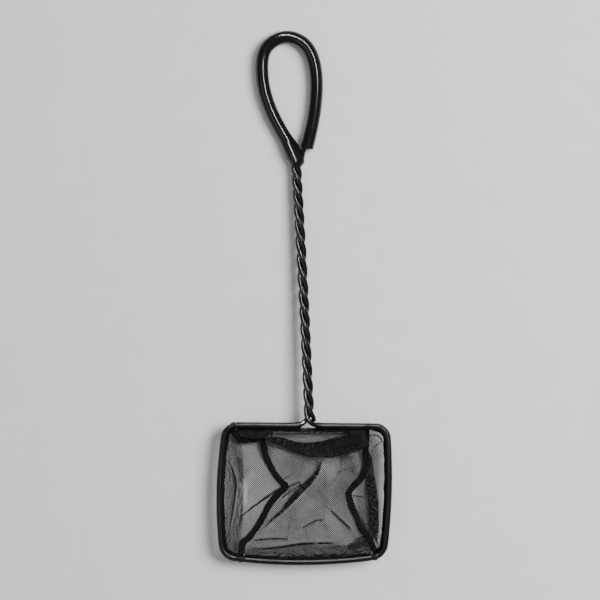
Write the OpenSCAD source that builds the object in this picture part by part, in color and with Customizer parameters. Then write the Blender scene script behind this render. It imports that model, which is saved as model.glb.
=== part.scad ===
// Aquarium fish net: one coated wire bent into a hoop, a twisted shaft and a
// hanging loop, a soft sleeve over the loop, and a sewn mesh bag on the hoop.
// The net lies on a flat surface at Z = 0, with the bag collapsed under the
// hoop. +X runs across the net and +Y from the bag to the loop. The origin is
// under the middle of the whole net.

/* [Wire] */
// Diameter of the wire over its coating
wire_d = 2.85; // [2:0.05:3.4]
// Free gap between neighbouring strands of the twist
strand_gap = 0.1; // [0.05:0.05:0.3]
// Full turns of the twist along the shaft
twist_turns = 5.05; // [3:0.05:7]
// Length of the shaft, from the hoop's top bar to the neck of the loop
shaft_l = 153.5; // [110:0.5:220]
// Length above the top bar over which the strands part
fork_l = 8.8; // [7:0.1:14]
// How far the shaft's neck stands to the left of its foot
shaft_lean = 7.5; // [0:0.1:16]
// Bow of the shaft to the right at half its length
shaft_bow = 0.4; // [0:0.1:3]

/* [Hoop] */
// Width of the hoop between wire centres
hoop_w = 100; // [85:1:125]
// Height of the hoop between wire centres, along the net
hoop_h = 80; // [68:1:100]
// Height of the hoop's wire centre above the surface under the net
hoop_lift = 10; // [8.5:0.25:14]
// Length of each side taken up by the bend at a corner
corner_cut = 7; // [5:0.25:10]

/* [Loop] */
// Width of the hanging loop between the middles of its legs
loop_w = 31.9; // [26:0.1:42]
// Length of the hanging loop, from the neck to the middle of its top bend
loop_l = 74.9; // [60:0.1:95]
// How far the loop's middle stands to the left of the neck
loop_offset = 4.7; // [2:0.1:7]
// Outer diameter of the sleeve
sleeve_d = 7.6; // [6.6:0.1:9]
// Wall of the sleeve
sleeve_wall = 1; // [0.7:0.05:1.2]
// Clearance between the sleeve and the strands at the neck
neck_slip = 0.15; // [0.1:0.05:0.4]
// Width of the sleeve where it is stretched over the neck
neck_w = 10.2; // [9.4:0.1:12]

/* [Bag] */
// Thickness of the mesh
cloth_t = 0.4; // [0.3:0.05:0.6]
// Thickness of the hem tape round the wire
hem_t = 0.35; // [0.25:0.05:0.5]
// Clearance between the hem tape and what it holds
hem_slip = 0.1; // [0.05:0.05:0.2]
// Reach of the hem's sewn tails from the wire's centre
hem_reach = 3.7; // [3:0.1:5]
// Angle below level at which the hem's tails leave the wire
hem_angle = 50; // [35:1:65]
// Width of the tape that binds a seam
band_w = 3.8; // [3:0.1:4.6]
// Thickness of the tape that binds a seam
band_t = 1; // [0.7:0.05:1.4]
// Clearance between a seam's tape and the mesh beside it
band_slip = 0.15; // [0.05:0.05:0.3]
// Thickness of the tape wound round the wire at the ends of a seam
tack_t = 0.75; // [0.5:0.05:1.1]
// Openings across the main panel, which stand for its mesh
panel_across = 10; // [6:1:12]
// Openings along the main panel, from hem to hem
panel_down = 13; // [8:1:18]
// Openings of a gusset, from its seam to the hem
gusset_across = 4; // [3:1:8]
// Openings of a gusset along its seam
gusset_down = 12; // [8:1:16]

/* [Hidden] */

// Corners of the hoop, anticlockwise from the top left, where its sides would meet
corner_shares = [[-0.912, 1.013], [-0.947, -0.914], [0.939, -0.903], [0.979, 0.992]];
// Outward bow of the left, bottom, right and top sides, in half widths of the hoop
bow_shares = [0.057, 0.069, 0.04, 0];
// Places on the hoop: side 0 is the left one, then bottom, right and top
bar_left_share = -0.404;
bar_right_share = 3.373;
tack_shares = [-0.04, 1.111, 1.95, 3.118];
// Place of the shaft's foot on the top bar, from the middle of the hoop
fork_share = 0.062;
// Cut end of the wire, from the foot of its strand, in fork lengths, and how it is
// drawn out of the twist, under the strand that goes to the right
tip_shares = [0.21, -0.66, -0.3];
tip_way_shares = [0.1, 1, 0.4];
// Where the hems end at the fork, in shares of the bends from the bar to the strands
hem_lead_share = 0.3;
// Unevenness of the twist, made by hand, in shares of all the turns
uneven_share = 0.024;
// Section of a seam's tape in half widths and half thicknesses
band_shares = [[1, 0.3], [0.84, 1], [-0.84, 1], [-1, 0.3], [-1, -0.3], [-0.84, -1], [0.84, -1], [1, -0.3]];
// Handles of a smooth bend between two straight runs, in shares of the chord
bend_share = 0.38;

// Middle of the sleeve from the neck round to its right end, in half widths
// across from the middle of the loop and in lengths up from the neck
loop_shares = [
    [0.304, -0.015], [0.301, 0.055], [0.091, 0.148], [-0.197, 0.244], [-0.515, 0.368],
    [-0.741, 0.48], [-0.915, 0.607], [-0.984, 0.746], [-0.944, 0.889], [-0.613, 0.972],
    [-0.041, 1.02], [0.574, 0.971], [0.887, 0.872], [1.031, 0.748], [1.06, 0.622],
    [1.026, 0.498], [0.956, 0.38], [0.85, 0.267], [0.696, 0.132]];
// Where the wire's ends meet the middle of the sleeve, in points of that list
wire_in_share = 4;
wire_out_share = 16.9;
// Where the stretched neck of the sleeve ends, in points of that list
neck_share = 3;

// Seams of the bag from the top tack to the bottom tack: across and along from
// the middle of the hoop in half sizes, and up in shares of the hoop's height
left_seam_shares = [
    [-0.821, 0.844, 0.62], [-0.75, 0.697, 0.45], [-0.479, 0.888, 0.3],
    [-0.491, 0.697, 0.16], [-0.444, 0.506, 0.06], [-0.361, 0.33, 0.02],
    [-0.161, 0.051, 0], [-0.397, -0.11, 0], [-0.467, -0.374, 0.03],
    [-0.585, -0.58, 0.12], [-0.703, -0.756, 0.35], [-0.738, -0.858, 0.6]];
right_seam_shares = [
    [0.741, 0.873, 0.62], [0.729, 0.756, 0.45], [0.725, 0.638, 0.3],
    [0.738, 0.477, 0.16], [0.753, 0.301, 0.06], [0.641, 0.169, 0.02],
    [0.523, 0.037, 0], [0.505, -0.095, 0], [0.605, -0.301, 0.03],
    [0.676, -0.521, 0.12], [0.782, -0.712, 0.35], [0.847, -0.844, 0.6]];
// Sag of each row of the main panel between the seams in half heights of the
// hoop, how far that sag leans to the right, and its height above the surface
sag_shares = [
    [-0.15, 0.2, 0.6], [-0.25, 0.4, 0.4], [0.08, 0, 0.2], [-0.05, 0, 0],
    [-0.06, 0, 0], [-0.095, 0, 0], [-0.08, 0, 0], [-0.11, 0, 0], [-0.08, 0, 0],
    [-0.09, 0, 0], [-0.286, 0, 0.03], [0.17, 0, 0.3]];
// Places of the main panel's points between the seams
across_shares = [0, 0.12, 0.25, 0.38, 0.5, 0.62, 0.75, 0.88, 1];
// Sag of the panel's edge where the strands part, and the width of that sag
fork_sag_shares = [0.1, 0.14];
// Places of the gussets' points between the seam and the hem
gusset_shares = [0, 0.25, 0.5, 0.78];
// How far each row of a gusset holds the level of its edges
hold_shares = [1, 0.9, 0.8, 0.5, 0.25, 0, 0, 0, 0, 0, 0.25, 0.55, 0.85, 1];
// Places on the hoop where each row of the gussets ends
left_row_shares = [0.02, 0.08, 0.15, 0.2, 0.265, 0.325, 0.4, 0.485, 0.57, 0.667, 0.774, 0.872, 0.956, 1.05];
right_row_shares = [3.03, 2.93, 2.87, 2.8, 2.72, 2.64, 2.56, 2.48, 2.4, 2.3, 2.2, 2.12, 2.06, 2.01];

// Bars of the mesh between two openings, in shares of their spacing
bar_share = 0.34;

// Facets
wire_sides = 8;
sleeve_sides = 12;
hem_sides = 7;
turn_rings = 12;
hoop_rings = 60;
bend_rings = 6;
loop_rings = 44;
seam_rings = 39;
step_share = 0.001;

wire_r = wire_d / 2;
sleeve_r = sleeve_d / 2;
hem_in = wire_r + hem_slip;
hem_out = hem_in + hem_t;
tack_out = hem_in + tack_t;
twist_r = (wire_d + strand_gap) / sqrt(3);
neck_in = twist_r + wire_r + neck_slip;
neck_lift = neck_in + sleeve_wall;
net_l = hem_out + hoop_h + shaft_l + loop_l + sleeve_r;
hoop_y = hem_out + hoop_h / 2 - net_l / 2;
bar_y = hoop_y + hoop_h / 2;
fork_y = bar_y + fork_l;
neck_y = bar_y + shaft_l;
fork_x = fork_share * hoop_w / 2;
loop_x = fork_x - shaft_lean - loop_offset;
cloth_z = cloth_t / 2;
band_z = band_t / 2;
tape_gap = cloth_t + 2 * hem_slip;

up = [0, 0, 1];

function unit(v) = v / norm(v);
function mix(a, b, f) = a + f * (b - a);
function index(k) = k - 4 * floor(k / 4);
function bezier(a, b, c, d, f) =
    pow(1 - f, 3) * a + 3 * f * pow(1 - f, 2) * b + 3 * f * f * (1 - f) * c + pow(f, 3) * d;

// A cubic spline that starts and ends at the ends of its list; the points may
// be rows of points, and framed() adds the two that lie past the ends
function framed(p) = concat([2 * p[0] - p[1]], p, [2 * p[len(p) - 1] - p[len(p) - 2]]);
function spline_at(q, t) =
    let (i = max(0, min(floor(t), len(q) - 4)), f = t - i)
    (pow(1 - f, 3) * q[i] + (3 * pow(f, 3) - 6 * f * f + 4) * q[i + 1]
    + (3 * f + 3 * f * f - 3 * pow(f, 3) + 1) * q[i + 2] + pow(f, 3) * q[i + 3]) / 6;

// The hoop. A place is the number of a side plus the share of it that is passed
function corner(k) = [
    corner_shares[index(k)].x * hoop_w / 2,
    hoop_y + corner_shares[index(k)].y * hoop_h / 2,
    hoop_lift];
function side_l(k) = norm(corner(k + 1) - corner(k));
function side_at(k, f) =
    let (out = cross(unit(corner(k + 1) - corner(k)), up))
    mix(corner(k), corner(k + 1), f) + 4 * f * (1 - f) * bow_shares[index(k)] * hoop_w / 2 * out;
function side_dir(k, f) = unit(side_at(k, f + step_share) - side_at(k, f - step_share));
function hoop_at(q) =
    let (
        n = floor(q + 1 / 2),
        back = corner_cut / side_l(n - 1),
        ahead = corner_cut / side_l(n),
        a = side_at(n - 1, 1 - back),
        d = side_at(n, ahead),
        reach = bend_share * norm(d - a))
    q - n > -back && q - n < ahead
    ? bezier(a, a + reach * side_dir(n - 1, 1 - back), d - reach * side_dir(n, ahead), d,
        (q - n + back) / (back + ahead))
    : side_at(floor(q), q - floor(q));
function hoop_dir(q) = unit(hoop_at(q + step_share) - hoop_at(q - step_share));
function inward(q) = unit(cross(up, hoop_dir(q)));
function hoop_run(a, b, n) = [for (i = [0:n]) hoop_at(mix(a, b, i / n))];
// A point of the bag's mouth, at a distance from the wire's centre along the hem's tails
function mouth_at(q, reach) =
    hoop_at(q) + reach * (cos(hem_angle) * inward(q) - sin(hem_angle) * up);

// The three strands of the shaft, from its foot (0) to the neck (1)
function axis_at(a) = [
    fork_x - shaft_lean * a + 4 * shaft_bow * a * (1 - a),
    mix(fork_y, neck_y, a),
    mix(hoop_lift, neck_lift, a)];
function turned(a) = a - uneven_share * max(0, sin(360 * (a - 1 / 2)));
function strand_at(k, a) =
    let (turn = 360 * (k / 3 - 1 / 6 + twist_turns * turned(a)))
    axis_at(a) + twist_r * [cos(turn), 0, sin(turn)];
function strand_dir(k, a) = unit(strand_at(k, a + step_share) - strand_at(k, a - step_share));
strand_rings = ceil(turn_rings * twist_turns);
function strand_run(k) = [for (i = [0:strand_rings]) strand_at(k, i / strand_rings)];

// A run of the wire that leaves a along u and arrives at b along v, without its ends
function bezier_run(a, u, b, v, h, f) = bezier(a, a + h[0] * u, b - h[1] * v, b, f);
function bend(a, u, b, v, h, n) = [for (i = [1:n - 1]) bezier_run(a, u, b, v, h, i / n)];

// The loop's middle line, level on the surface and lifted at the thicker neck
loop_points = [for (i = [0:len(loop_shares) - 1]) [
    loop_x + loop_shares[i].x * loop_w / 2,
    neck_y + loop_shares[i].y * loop_l,
    i < neck_share ? neck_lift : sleeve_r]];
loop_net = framed(loop_points);
function loop_at(t) = spline_at(loop_net, t);
function loop_dir(t) = unit(loop_at(t + step_share) - loop_at(t - step_share));

// The whole wire: a cut end at the shaft's foot, up a strand, round the loop, down a
// strand, round the hoop from left to right, and up the last strand into the neck
tip = strand_at(1, 0) + fork_l * tip_shares;
left_reach = [0.8 * fork_l, 0.74 * fork_l];
right_reach = [0.9 * fork_l, 0.95 * fork_l];
// The bends at the fork, from the hoop's top bar to the strands
function left_foot(f) = bezier_run(hoop_at(bar_left_share), -hoop_dir(bar_left_share),
    strand_at(0, 0), strand_dir(0, 0), left_reach, f);
function right_foot(f) = bezier_run(hoop_at(bar_right_share), hoop_dir(bar_right_share),
    strand_at(2, 0), strand_dir(2, 0), right_reach, f);
left_neck = bend(strand_at(1, 1), strand_dir(1, 1), loop_at(wire_in_share),
    loop_dir(wire_in_share), [0.12 * loop_l, 0.1 * loop_l], 2 * bend_rings);
right_neck = bend(loop_at(wire_out_share), loop_dir(wire_out_share), strand_at(0, 1),
    -strand_dir(0, 1), [0.14 * loop_l, 0.095 * loop_l], 2 * bend_rings);
wire_path = concat(
    [tip], bend(tip, unit(tip_way_shares), strand_at(1, 0), strand_dir(1, 0),
        [0.3 * fork_l, fork_l / 2], bend_rings),
    strand_run(1), left_neck,
    [for (i = [0:loop_rings]) loop_at(mix(wire_in_share, wire_out_share, i / loop_rings))],
    right_neck, [for (i = [0:strand_rings]) strand_at(0, 1 - i / strand_rings)],
    [for (i = [bend_rings - 1:-1:1]) left_foot(i / bend_rings)],
    hoop_run(bar_left_share, bar_right_share, hoop_rings),
    [for (i = [1:bend_rings - 1]) right_foot(i / bend_rings)],
    strand_run(2));

// The bag's seams, from one tack to the other
function seam_point(s) = [
    s.x * hoop_w / 2,
    hoop_y + s.y * hoop_h / 2,
    mix(band_z, hoop_lift, s.z)];
function seam_points(shares, first, last) = concat(
    [mouth_at(first, tack_out + band_slip)],
    [for (s = shares) seam_point(s)],
    [mouth_at(last, tack_out + band_slip)]);
left_seam = seam_points(left_seam_shares, tack_shares[0], tack_shares[1]);
right_seam = seam_points(right_seam_shares, tack_shares[3], tack_shares[2]);
last_row = len(left_seam) - 1;

// Points round a sweep's section, and rings of it along a path kept level across
function oval(a, b, n) = [for (i = [0:n - 1]) [a * cos(360 * i / n), b * sin(360 * i / n)]];
function path_dir(p, i) = unit(p[min(i + 1, len(p) - 1)] - p[max(i - 1, 0)]);
function ring(p, i, section) =
    let (t = path_dir(p, i), left = unit(cross(up, t)), rise = cross(t, left))
    [for (s = section) p[i] + s.x * left + s.y * rise];
function flat(rows) = [for (r = rows) for (p = r) p];

// A solid swept along a path, with a section for each of its points
module swept(path, sections) {
    n = len(sections[0]);
    last = len(path) - 1;
    points = flat([for (i = [0:last]) ring(path, i, sections[i])]);
    walls = [for (i = [0:last - 1]) for (j = [0:n - 1])
        let (a = i * n + j, b = i * n + (j + 1) % n)
        each [[a, a + n, b + n], [a, b + n, b]]];
    ends = [[for (j = [0:n - 1]) j], [for (j = [n - 1:-1:0]) last * n + j]];
    polyhedron(points, concat(walls, ends), convexity = 10);
}

// A tube swept along a path, open at both ends, with its outer and inner sections
module piped(path, outers, inners) {
    n = len(outers[0]);
    last = len(path) - 1;
    in = (last + 1) * n;
    points = concat(
        flat([for (i = [0:last]) ring(path, i, outers[i])]),
        flat([for (i = [0:last]) ring(path, i, inners[i])]));
    walls = [for (i = [0:last - 1]) for (j = [0:n - 1])
        let (a = i * n + j, b = i * n + (j + 1) % n)
        each [[a, a + n, b + n], [a, b + n, b],
            [in + a, in + b + n, in + a + n], [in + a, in + b, in + b + n]]];
    rims = [for (j = [0:n - 1])
        let (b = (j + 1) % n, far = last * n)
        each [[j, b, in + b], [j, in + b, in + j],
            [far + b, far + j, in + far + j], [far + b, in + far + j, in + far + b]]];
    polyhedron(points, concat(walls, rims), convexity = 10);
}

// A sheet of mesh through a grid of points, half its thickness to each side. A cell
// is open where its row and its column are both odd
function is_open(i, j) = i % 2 == 1 && j % 2 == 1;
function facing(g, i, j) =
    let (n = len(g) - 1, m = len(g[0]) - 1)
    unit(cross(g[min(i + 1, n)][j] - g[max(i - 1, 0)][j], g[i][min(j + 1, m)] - g[i][max(j - 1, 0)]));
module sheet(g) {
    n = len(g);
    m = len(g[0]);
    under = n * m;
    top = flat([for (i = [0:n - 1]) [for (j = [0:m - 1]) g[i][j] + cloth_z * facing(g, i, j)]]);
    bottom = flat([for (i = [0:n - 1]) [for (j = [0:m - 1]) g[i][j] - cloth_z * facing(g, i, j)]]);
    faces = [for (i = [0:n - 2]) for (j = [0:m - 2])
        let (a = i * m + j, b = a + 1, c = a + m + 1, d = a + m)
        if (!is_open(i, j))
            each [[a, b, c], [a, c, d],
                [under + a, under + c, under + b], [under + a, under + d, under + c]]];
    walls = [for (i = [0:n - 2]) for (j = [0:m - 2])
        let (a = i * m + j, c = [a, a + 1, a + m + 1, a + m])
        if (is_open(i, j))
            for (k = [0:3])
                let (p = c[k], q = c[(k + 1) % 4])
                each [[p, q, under + q], [p, under + q, under + p]]];
    cross_rims = [for (j = [0:m - 2])
        let (a = j, b = j + 1, d = (n - 1) * m + j, c = d + 1)
        each [[b, a, under + a], [b, under + a, under + b], [d, c, under + c], [d, under + c, under + d]]];
    side_rims = [for (i = [0:n - 2])
        let (a = i * m, d = a + m, b = i * m + m - 1, c = b + m)
        each [[a, d, under + d], [a, under + d, under + a], [c, b, under + b], [c, under + b, under + c]]];
    polyhedron(concat(top, bottom), concat(faces, walls, cross_rims, side_rims), convexity = 12);
}

// How far mesh is kept from a seam's middle along its own row, so that it stays
// clear of the tape where the row meets the seam at a slant
function clear_of(seam, t, row_dir) =
    let (
        q = framed(seam),
        way = spline_at(q, min(t + step_share, last_row)) - spline_at(q, max(t - step_share, 0)),
        slant = norm(cross(unit([way.x, way.y, 0]), unit([row_dir.x, row_dir.y, 0]))))
    (band_w / 2 + band_slip) / max(slant, 1 / 2);

// Both edges of each of n openings in a row, with bars between them
function lattice(n, low, high) =
    let (pitch = (high - low) / (n - bar_share))
    [for (k = [0:n - 1]) each [low + k * pitch, low + (k + 1 - bar_share) * pitch]];

// Rows of the main panel, from the top hem to the bottom hem
function fork_dip(q) =
    let (d = (q - (bar_left_share + 4 + bar_right_share) / 2) / fork_sag_shares[1])
    fork_sag_shares[0] * hoop_h / 2 * exp(-d * d);
function mouth_row(a, b, reach) = [for (s = across_shares)
    let (q = mix(a, b, s)) mouth_at(q, reach + fork_dip(q))];
function panel_row(i) = [for (k = [0:len(across_shares) - 1])
    let (
        s = across_shares[k],
        g = sag_shares[i - 1],
        p = mix(left_seam[i], right_seam[i], s),
        sag = g[0] * hoop_h / 2 * 4 * s * (1 - s) * (1 + g[1] * (2 * s - 1)),
        z = s == 0 || s == 1 ? p.z : mix(cloth_z, hoop_lift, g[2]))
    [p.x, p.y + sag, z]];
tack_gap_share = 0.03;
// The mesh's edge runs straight between the hem's tails, through three rows
mouth_reach = [for (s = [0:2]) mix(hem_in + hem_slip + cloth_t, hem_reach + cloth_t, s / 2)];
tail_rows = 3 / 2;
panel_net = concat(
    [for (i = [0:2])
        mouth_row(tack_shares[0] + 4 - tack_gap_share, tack_shares[3] + tack_gap_share, mouth_reach[i])],
    [for (i = [1:last_row - 1]) panel_row(i)],
    [for (i = [2:-1:0])
        mouth_row(tack_shares[1] + tack_gap_share, tack_shares[2] - tack_gap_share, mouth_reach[i])]);
function panel_grid() =
    let (
        net = framed(panel_net),
        rows = len(panel_net) - 1,
        last = len(across_shares) - 1,
        edge = bar_share / panel_across,
        places = concat([0], lattice(panel_across, edge, 1 - edge), [1]))
    [for (t = concat([0], lattice(panel_down, tail_rows, rows - tail_rows), [rows]))
        let (
            row = spline_at(net, t),
            q = framed(row),
            w = row[last] - row[0],
            near = norm(row[1] - row[0]),
            far = norm(row[last] - row[last - 1]),
            seam_t = max(0, min(t - 2, last_row)),
            start = t < 2 || t > rows - 2 ? 0 : min(clear_of(left_seam, seam_t, w) / near, 1),
            end = t < 2 || t > rows - 2 ? 0 : min(clear_of(right_seam, seam_t, w) / far, 1))
        [for (s = places) spline_at(q, mix(start, last - end, s))]];

// Rows of a gusset, from its seam to the hem on the hoop's side
function gusset_row(seam, places, i) =
    let (rim = mouth_at(places[i], mouth_reach[2]))
    concat(
        [for (c = gusset_shares)
            let (p = mix(seam[i], rim, c))
            [p.x, p.y, c == 0 ? p.z : mix(cloth_z, p.z, hold_shares[i])]],
        [for (k = [2:-1:0]) mouth_at(places[i], mouth_reach[k])]);
function gusset_net(seam, places) = [for (i = [0:last_row]) gusset_row(seam, places, i)];
function gusset_grid(seam, places) =
    let (net = framed(gusset_net(seam, places)), last = len(gusset_shares) + 2)
    [for (t = concat([0], lattice(gusset_down, bar_share, last_row - bar_share), [last_row]))
        let (
            row = spline_at(net, t),
            q = framed(row),
            near = norm(row[1] - row[0]),
            start = min(clear_of(seam, t, row[2] - row[0]) / near, 1),
            first = mix(start, last - tail_rows, bar_share / gusset_across))
        [for (s = concat([start], lattice(gusset_across, first, last - tail_rows), [last])) spline_at(q, s)]];

// A hem's section: tape round the wire with its two tails together, the bag's
// edge between them, laid along the tails' own slant
function hem_section() =
    let (
        outer = asin((tape_gap / 2 + hem_t) / hem_out),
        inner = asin(tape_gap / 2 / hem_in),
        outline = concat(
            [[hem_reach, tape_gap / 2], [hem_reach, tape_gap / 2 + hem_t]],
            [for (i = [0:hem_sides])
                let (a = mix(outer, 360 - outer, i / hem_sides)) hem_out * [cos(a), sin(a)]],
            [[hem_reach, -tape_gap / 2 - hem_t], [hem_reach, -tape_gap / 2]],
            [for (i = [0:hem_sides])
                let (a = mix(360 - inner, inner, i / hem_sides)) hem_in * [cos(a), sin(a)]]))
    [for (p = outline) [
        p.x * cos(hem_angle) + p.y * sin(hem_angle),
        p.y * cos(hem_angle) - p.x * sin(hem_angle)]];
module hem(path) {
    color("#1c1f1e") swept(path, [for (p = path) hem_section()]);
}
// Half the width of a tack and its clearance, as a share of a hoop's side
function tack_half(k) = (band_w / 2 + band_slip) / side_l(k);

module frame_wire() {
    color("#0d0d0e") swept(wire_path, [for (p = wire_path) oval(wire_r, wire_r, wire_sides)]);
}

// The sleeve is a plain tube round the loop. Its left end is stretched over the neck's
// strands, widest where they part, with a slit where the right leg's wire goes in
module loop_sleeve() {
    path = [for (i = [0:loop_rings]) loop_at((len(loop_shares) - 1) * i / loop_rings)];
    half = [for (i = [0:loop_rings])
        let (
            f = min(1, (len(loop_shares) - 1) * i / loop_rings / neck_share),
            wide = mix(sleeve_r, neck_lift, (1 + cos(180 * f)) / 2),
            high = mix(sleeve_r, neck_lift, (1 + cos(180 * f * f)) / 2))
        [wide + (neck_w - sleeve_r - neck_lift) / 2 * pow(sin(180 * f), 2), high]];
    color("#141414") difference() {
        piped(path,
            [for (h = half) oval(h.x, h.y, sleeve_sides)],
            [for (h = half) oval(h.x - sleeve_wall, h.y - sleeve_wall, sleeve_sides)]);
        slit_path = [for (i = [4:len(right_neck) - 1]) right_neck[i]];
        slit_r = wire_r + neck_slip;
        swept(slit_path, [for (p = slit_path) oval(slit_r, slit_r, wire_sides)]);
    }
}

module main_panel() {
    color("#2b3330") sheet(panel_grid());
}
module left_gusset() {
    color("#2f3734") sheet(gusset_grid(left_seam, left_row_shares));
}
module right_gusset() {
    g = gusset_grid(right_seam, right_row_shares);
    color("#2f3734") sheet([for (i = [len(g) - 1:-1:0]) g[i]]);
}

module seam_binding(seam) {
    q = framed(seam);
    path = [for (i = [0:seam_rings]) spline_at(q, last_row * i / seam_rings)];
    section = [for (s = band_shares) [s.x * band_w / 2, s.y * band_z]];
    color("#101110") swept(path, [for (p = path) section]);
}
module left_seam_binding() {
    seam_binding(left_seam);
}
module right_seam_binding() {
    seam_binding(right_seam);
}

module hem_top_left() {
    hem(concat(
        [for (i = [3:-1:1]) left_foot(hem_lead_share * i / 3)],
        hoop_run(bar_left_share, tack_shares[0] - tack_half(3), 8)));
}
module hem_left() {
    hem(hoop_run(tack_shares[0] + tack_half(0), tack_shares[1] - tack_half(1), 22));
}
module hem_bottom() {
    hem(hoop_run(tack_shares[1] + tack_half(1), tack_shares[2] - tack_half(1), 14));
}
module hem_right() {
    hem(hoop_run(tack_shares[2] + tack_half(1), tack_shares[3] - tack_half(3), 24));
}
module hem_top_right() {
    hem(concat(
        hoop_run(tack_shares[3] + tack_half(3), bar_right_share, 6),
        [for (i = [1:3]) right_foot(hem_lead_share * i / 3)]));
}

// A seam's tape, wound round the bare wire between two hems
module tack(q, k) {
    half = band_w / 2 / side_l(k);
    path = hoop_run(q - half, q + half, 4);
    color("#101110") piped(path,
        [for (p = path) oval(tack_out, tack_out, 10)],
        [for (p = path) oval(hem_in, hem_in, 10)]);
}
module tack_top_left() {
    tack(tack_shares[0], 3);
}
module tack_bottom_left() {
    tack(tack_shares[1], 1);
}
module tack_bottom_right() {
    tack(tack_shares[2], 1);
}
module tack_top_right() {
    tack(tack_shares[3], 3);
}

frame_wire();
loop_sleeve();
main_panel();
left_gusset();
right_gusset();
left_seam_binding();
right_seam_binding();
hem_top_left();
hem_top_right();
hem_left();
hem_bottom();
hem_right();
tack_top_left();
tack_bottom_left();
tack_bottom_right();
tack_top_right();
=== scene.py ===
"""Looks of the aquarium fish net: coated wire, vinyl sleeve, bound and tacked mesh bag.

Shapes are worked out in millimetres, in the part's own frame, and become metres when a
piece is made. The bag's mesh is real thread: a diamond lattice that is traced over each
panel's cloth by its flat length, so that folds, pleats and steep walls look denser.
"""

import math

import bpy
import numpy as np
from mathutils import Matrix, Vector


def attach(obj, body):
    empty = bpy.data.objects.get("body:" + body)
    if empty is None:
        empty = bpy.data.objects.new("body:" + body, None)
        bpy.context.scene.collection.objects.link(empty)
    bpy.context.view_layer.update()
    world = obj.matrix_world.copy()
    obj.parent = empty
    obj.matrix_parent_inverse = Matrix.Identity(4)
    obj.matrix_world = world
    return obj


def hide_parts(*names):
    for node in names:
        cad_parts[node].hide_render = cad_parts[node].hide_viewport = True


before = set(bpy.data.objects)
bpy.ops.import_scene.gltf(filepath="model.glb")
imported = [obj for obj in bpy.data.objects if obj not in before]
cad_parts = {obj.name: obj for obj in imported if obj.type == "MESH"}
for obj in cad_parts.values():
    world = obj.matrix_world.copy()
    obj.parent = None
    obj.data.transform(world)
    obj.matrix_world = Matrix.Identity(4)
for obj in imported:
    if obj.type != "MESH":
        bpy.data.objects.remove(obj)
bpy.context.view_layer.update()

MM = 0.001
PX = 0.588  # millimetres to one pixel of the photograph
CENTRE = (303.65, 297.8)  # the frame's origin in the photograph, in pixels
UP = np.array([0.0, 0.0, 1.0])
BODY = "root"

# Sizes, as in the part's source

WIRE_D, STRAND_GAP, TURNS, SHAFT_L, FORK_L = 2.85, 0.1, 5.05, 153.5, 8.8
LEAN, BOW, HOOP_W, HOOP_H, LIFT, CUT = 7.5, 0.4, 100.0, 80.0, 10.0, 7.0
LOOP_W, LOOP_L, LOOP_OFF, SLEEVE_D, WALL = 31.9, 74.9, 4.7, 7.6, 1.0
NECK_SLIP, HEM_T, HEM_SLIP, HEM_REACH, HEM_ANGLE = 0.15, 0.35, 0.1, 3.7, math.radians(50)
BAND_W, BAND_T, BAND_SLIP, TACK_T, CLOTH_T = 3.8, 1.0, 0.15, 0.75, 0.4

CORNERS = [(-0.912, 1.013), (-0.947, -0.914), (0.939, -0.903), (0.979, 0.992)]
BOWS = [0.057, 0.069, 0.04, 0.0]
BAR_LEFT, BAR_RIGHT, FORK, HEM_LEAD = -0.404, 3.373, 0.062, 0.3
TACKS = [-0.04, 1.111, 1.95, 3.118]
UNEVEN = 0.024
TIP, TIP_WAY = np.array([0.21, -0.66, -0.3]), np.array([0.1, 1.0, 0.4])
LEFT_REACH, RIGHT_REACH = (0.8 * FORK_L, 0.74 * FORK_L), (0.9 * FORK_L, 0.95 * FORK_L)
LOOP = np.array([
    [0.304, -0.015], [0.301, 0.055], [0.091, 0.148], [-0.197, 0.244], [-0.515, 0.368],
    [-0.741, 0.48], [-0.915, 0.607], [-0.984, 0.746], [-0.944, 0.889], [-0.613, 0.972],
    [-0.041, 1.02], [0.574, 0.971], [0.887, 0.872], [1.031, 0.748], [1.06, 0.622],
    [1.026, 0.498], [0.956, 0.38], [0.85, 0.267], [0.696, 0.132]])
WIRE_IN, WIRE_OUT, NECK = 4.0, 16.9, 3.0

WIRE_R, SLEEVE_R = WIRE_D / 2, SLEEVE_D / 2
HEM_IN = WIRE_R + HEM_SLIP
HEM_OUT = HEM_IN + HEM_T
TACK_OUT = HEM_IN + TACK_T
TWIST_R = (WIRE_D + STRAND_GAP) / math.sqrt(3)
NECK_LIFT = TWIST_R + WIRE_R + NECK_SLIP + WALL
NET_L = HEM_OUT + HOOP_H + SHAFT_L + LOOP_L + SLEEVE_R
HOOP_Y = HEM_OUT + HOOP_H / 2 - NET_L / 2
BAR_Y = HOOP_Y + HOOP_H / 2
FORK_Y, NECK_Y = BAR_Y + FORK_L, BAR_Y + SHAFT_L
FORK_X = FORK * HOOP_W / 2
LOOP_X = FORK_X - LEAN - LOOP_OFF


# Curves

def at(x, y, z=0.0):
    """A point of the photograph, in pixels, as a point of the frame at height z."""
    return np.array([(x - CENTRE[0]) * PX, (CENTRE[1] - y) * PX, z])


def unit(v):
    v = np.asarray(v, float)
    return v / np.maximum(np.linalg.norm(v, axis=-1, keepdims=True), 1e-12)


def mix(a, b, f):
    return a + f * (b - a)


def smooth(f):
    f = np.clip(f, 0, 1)
    return f * f * (3 - 2 * f)


def framed(p):
    p = np.asarray(p, float)
    return np.concatenate([2 * p[:1] - p[1:2], p, 2 * p[-1:] - p[-2:-1]])


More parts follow.
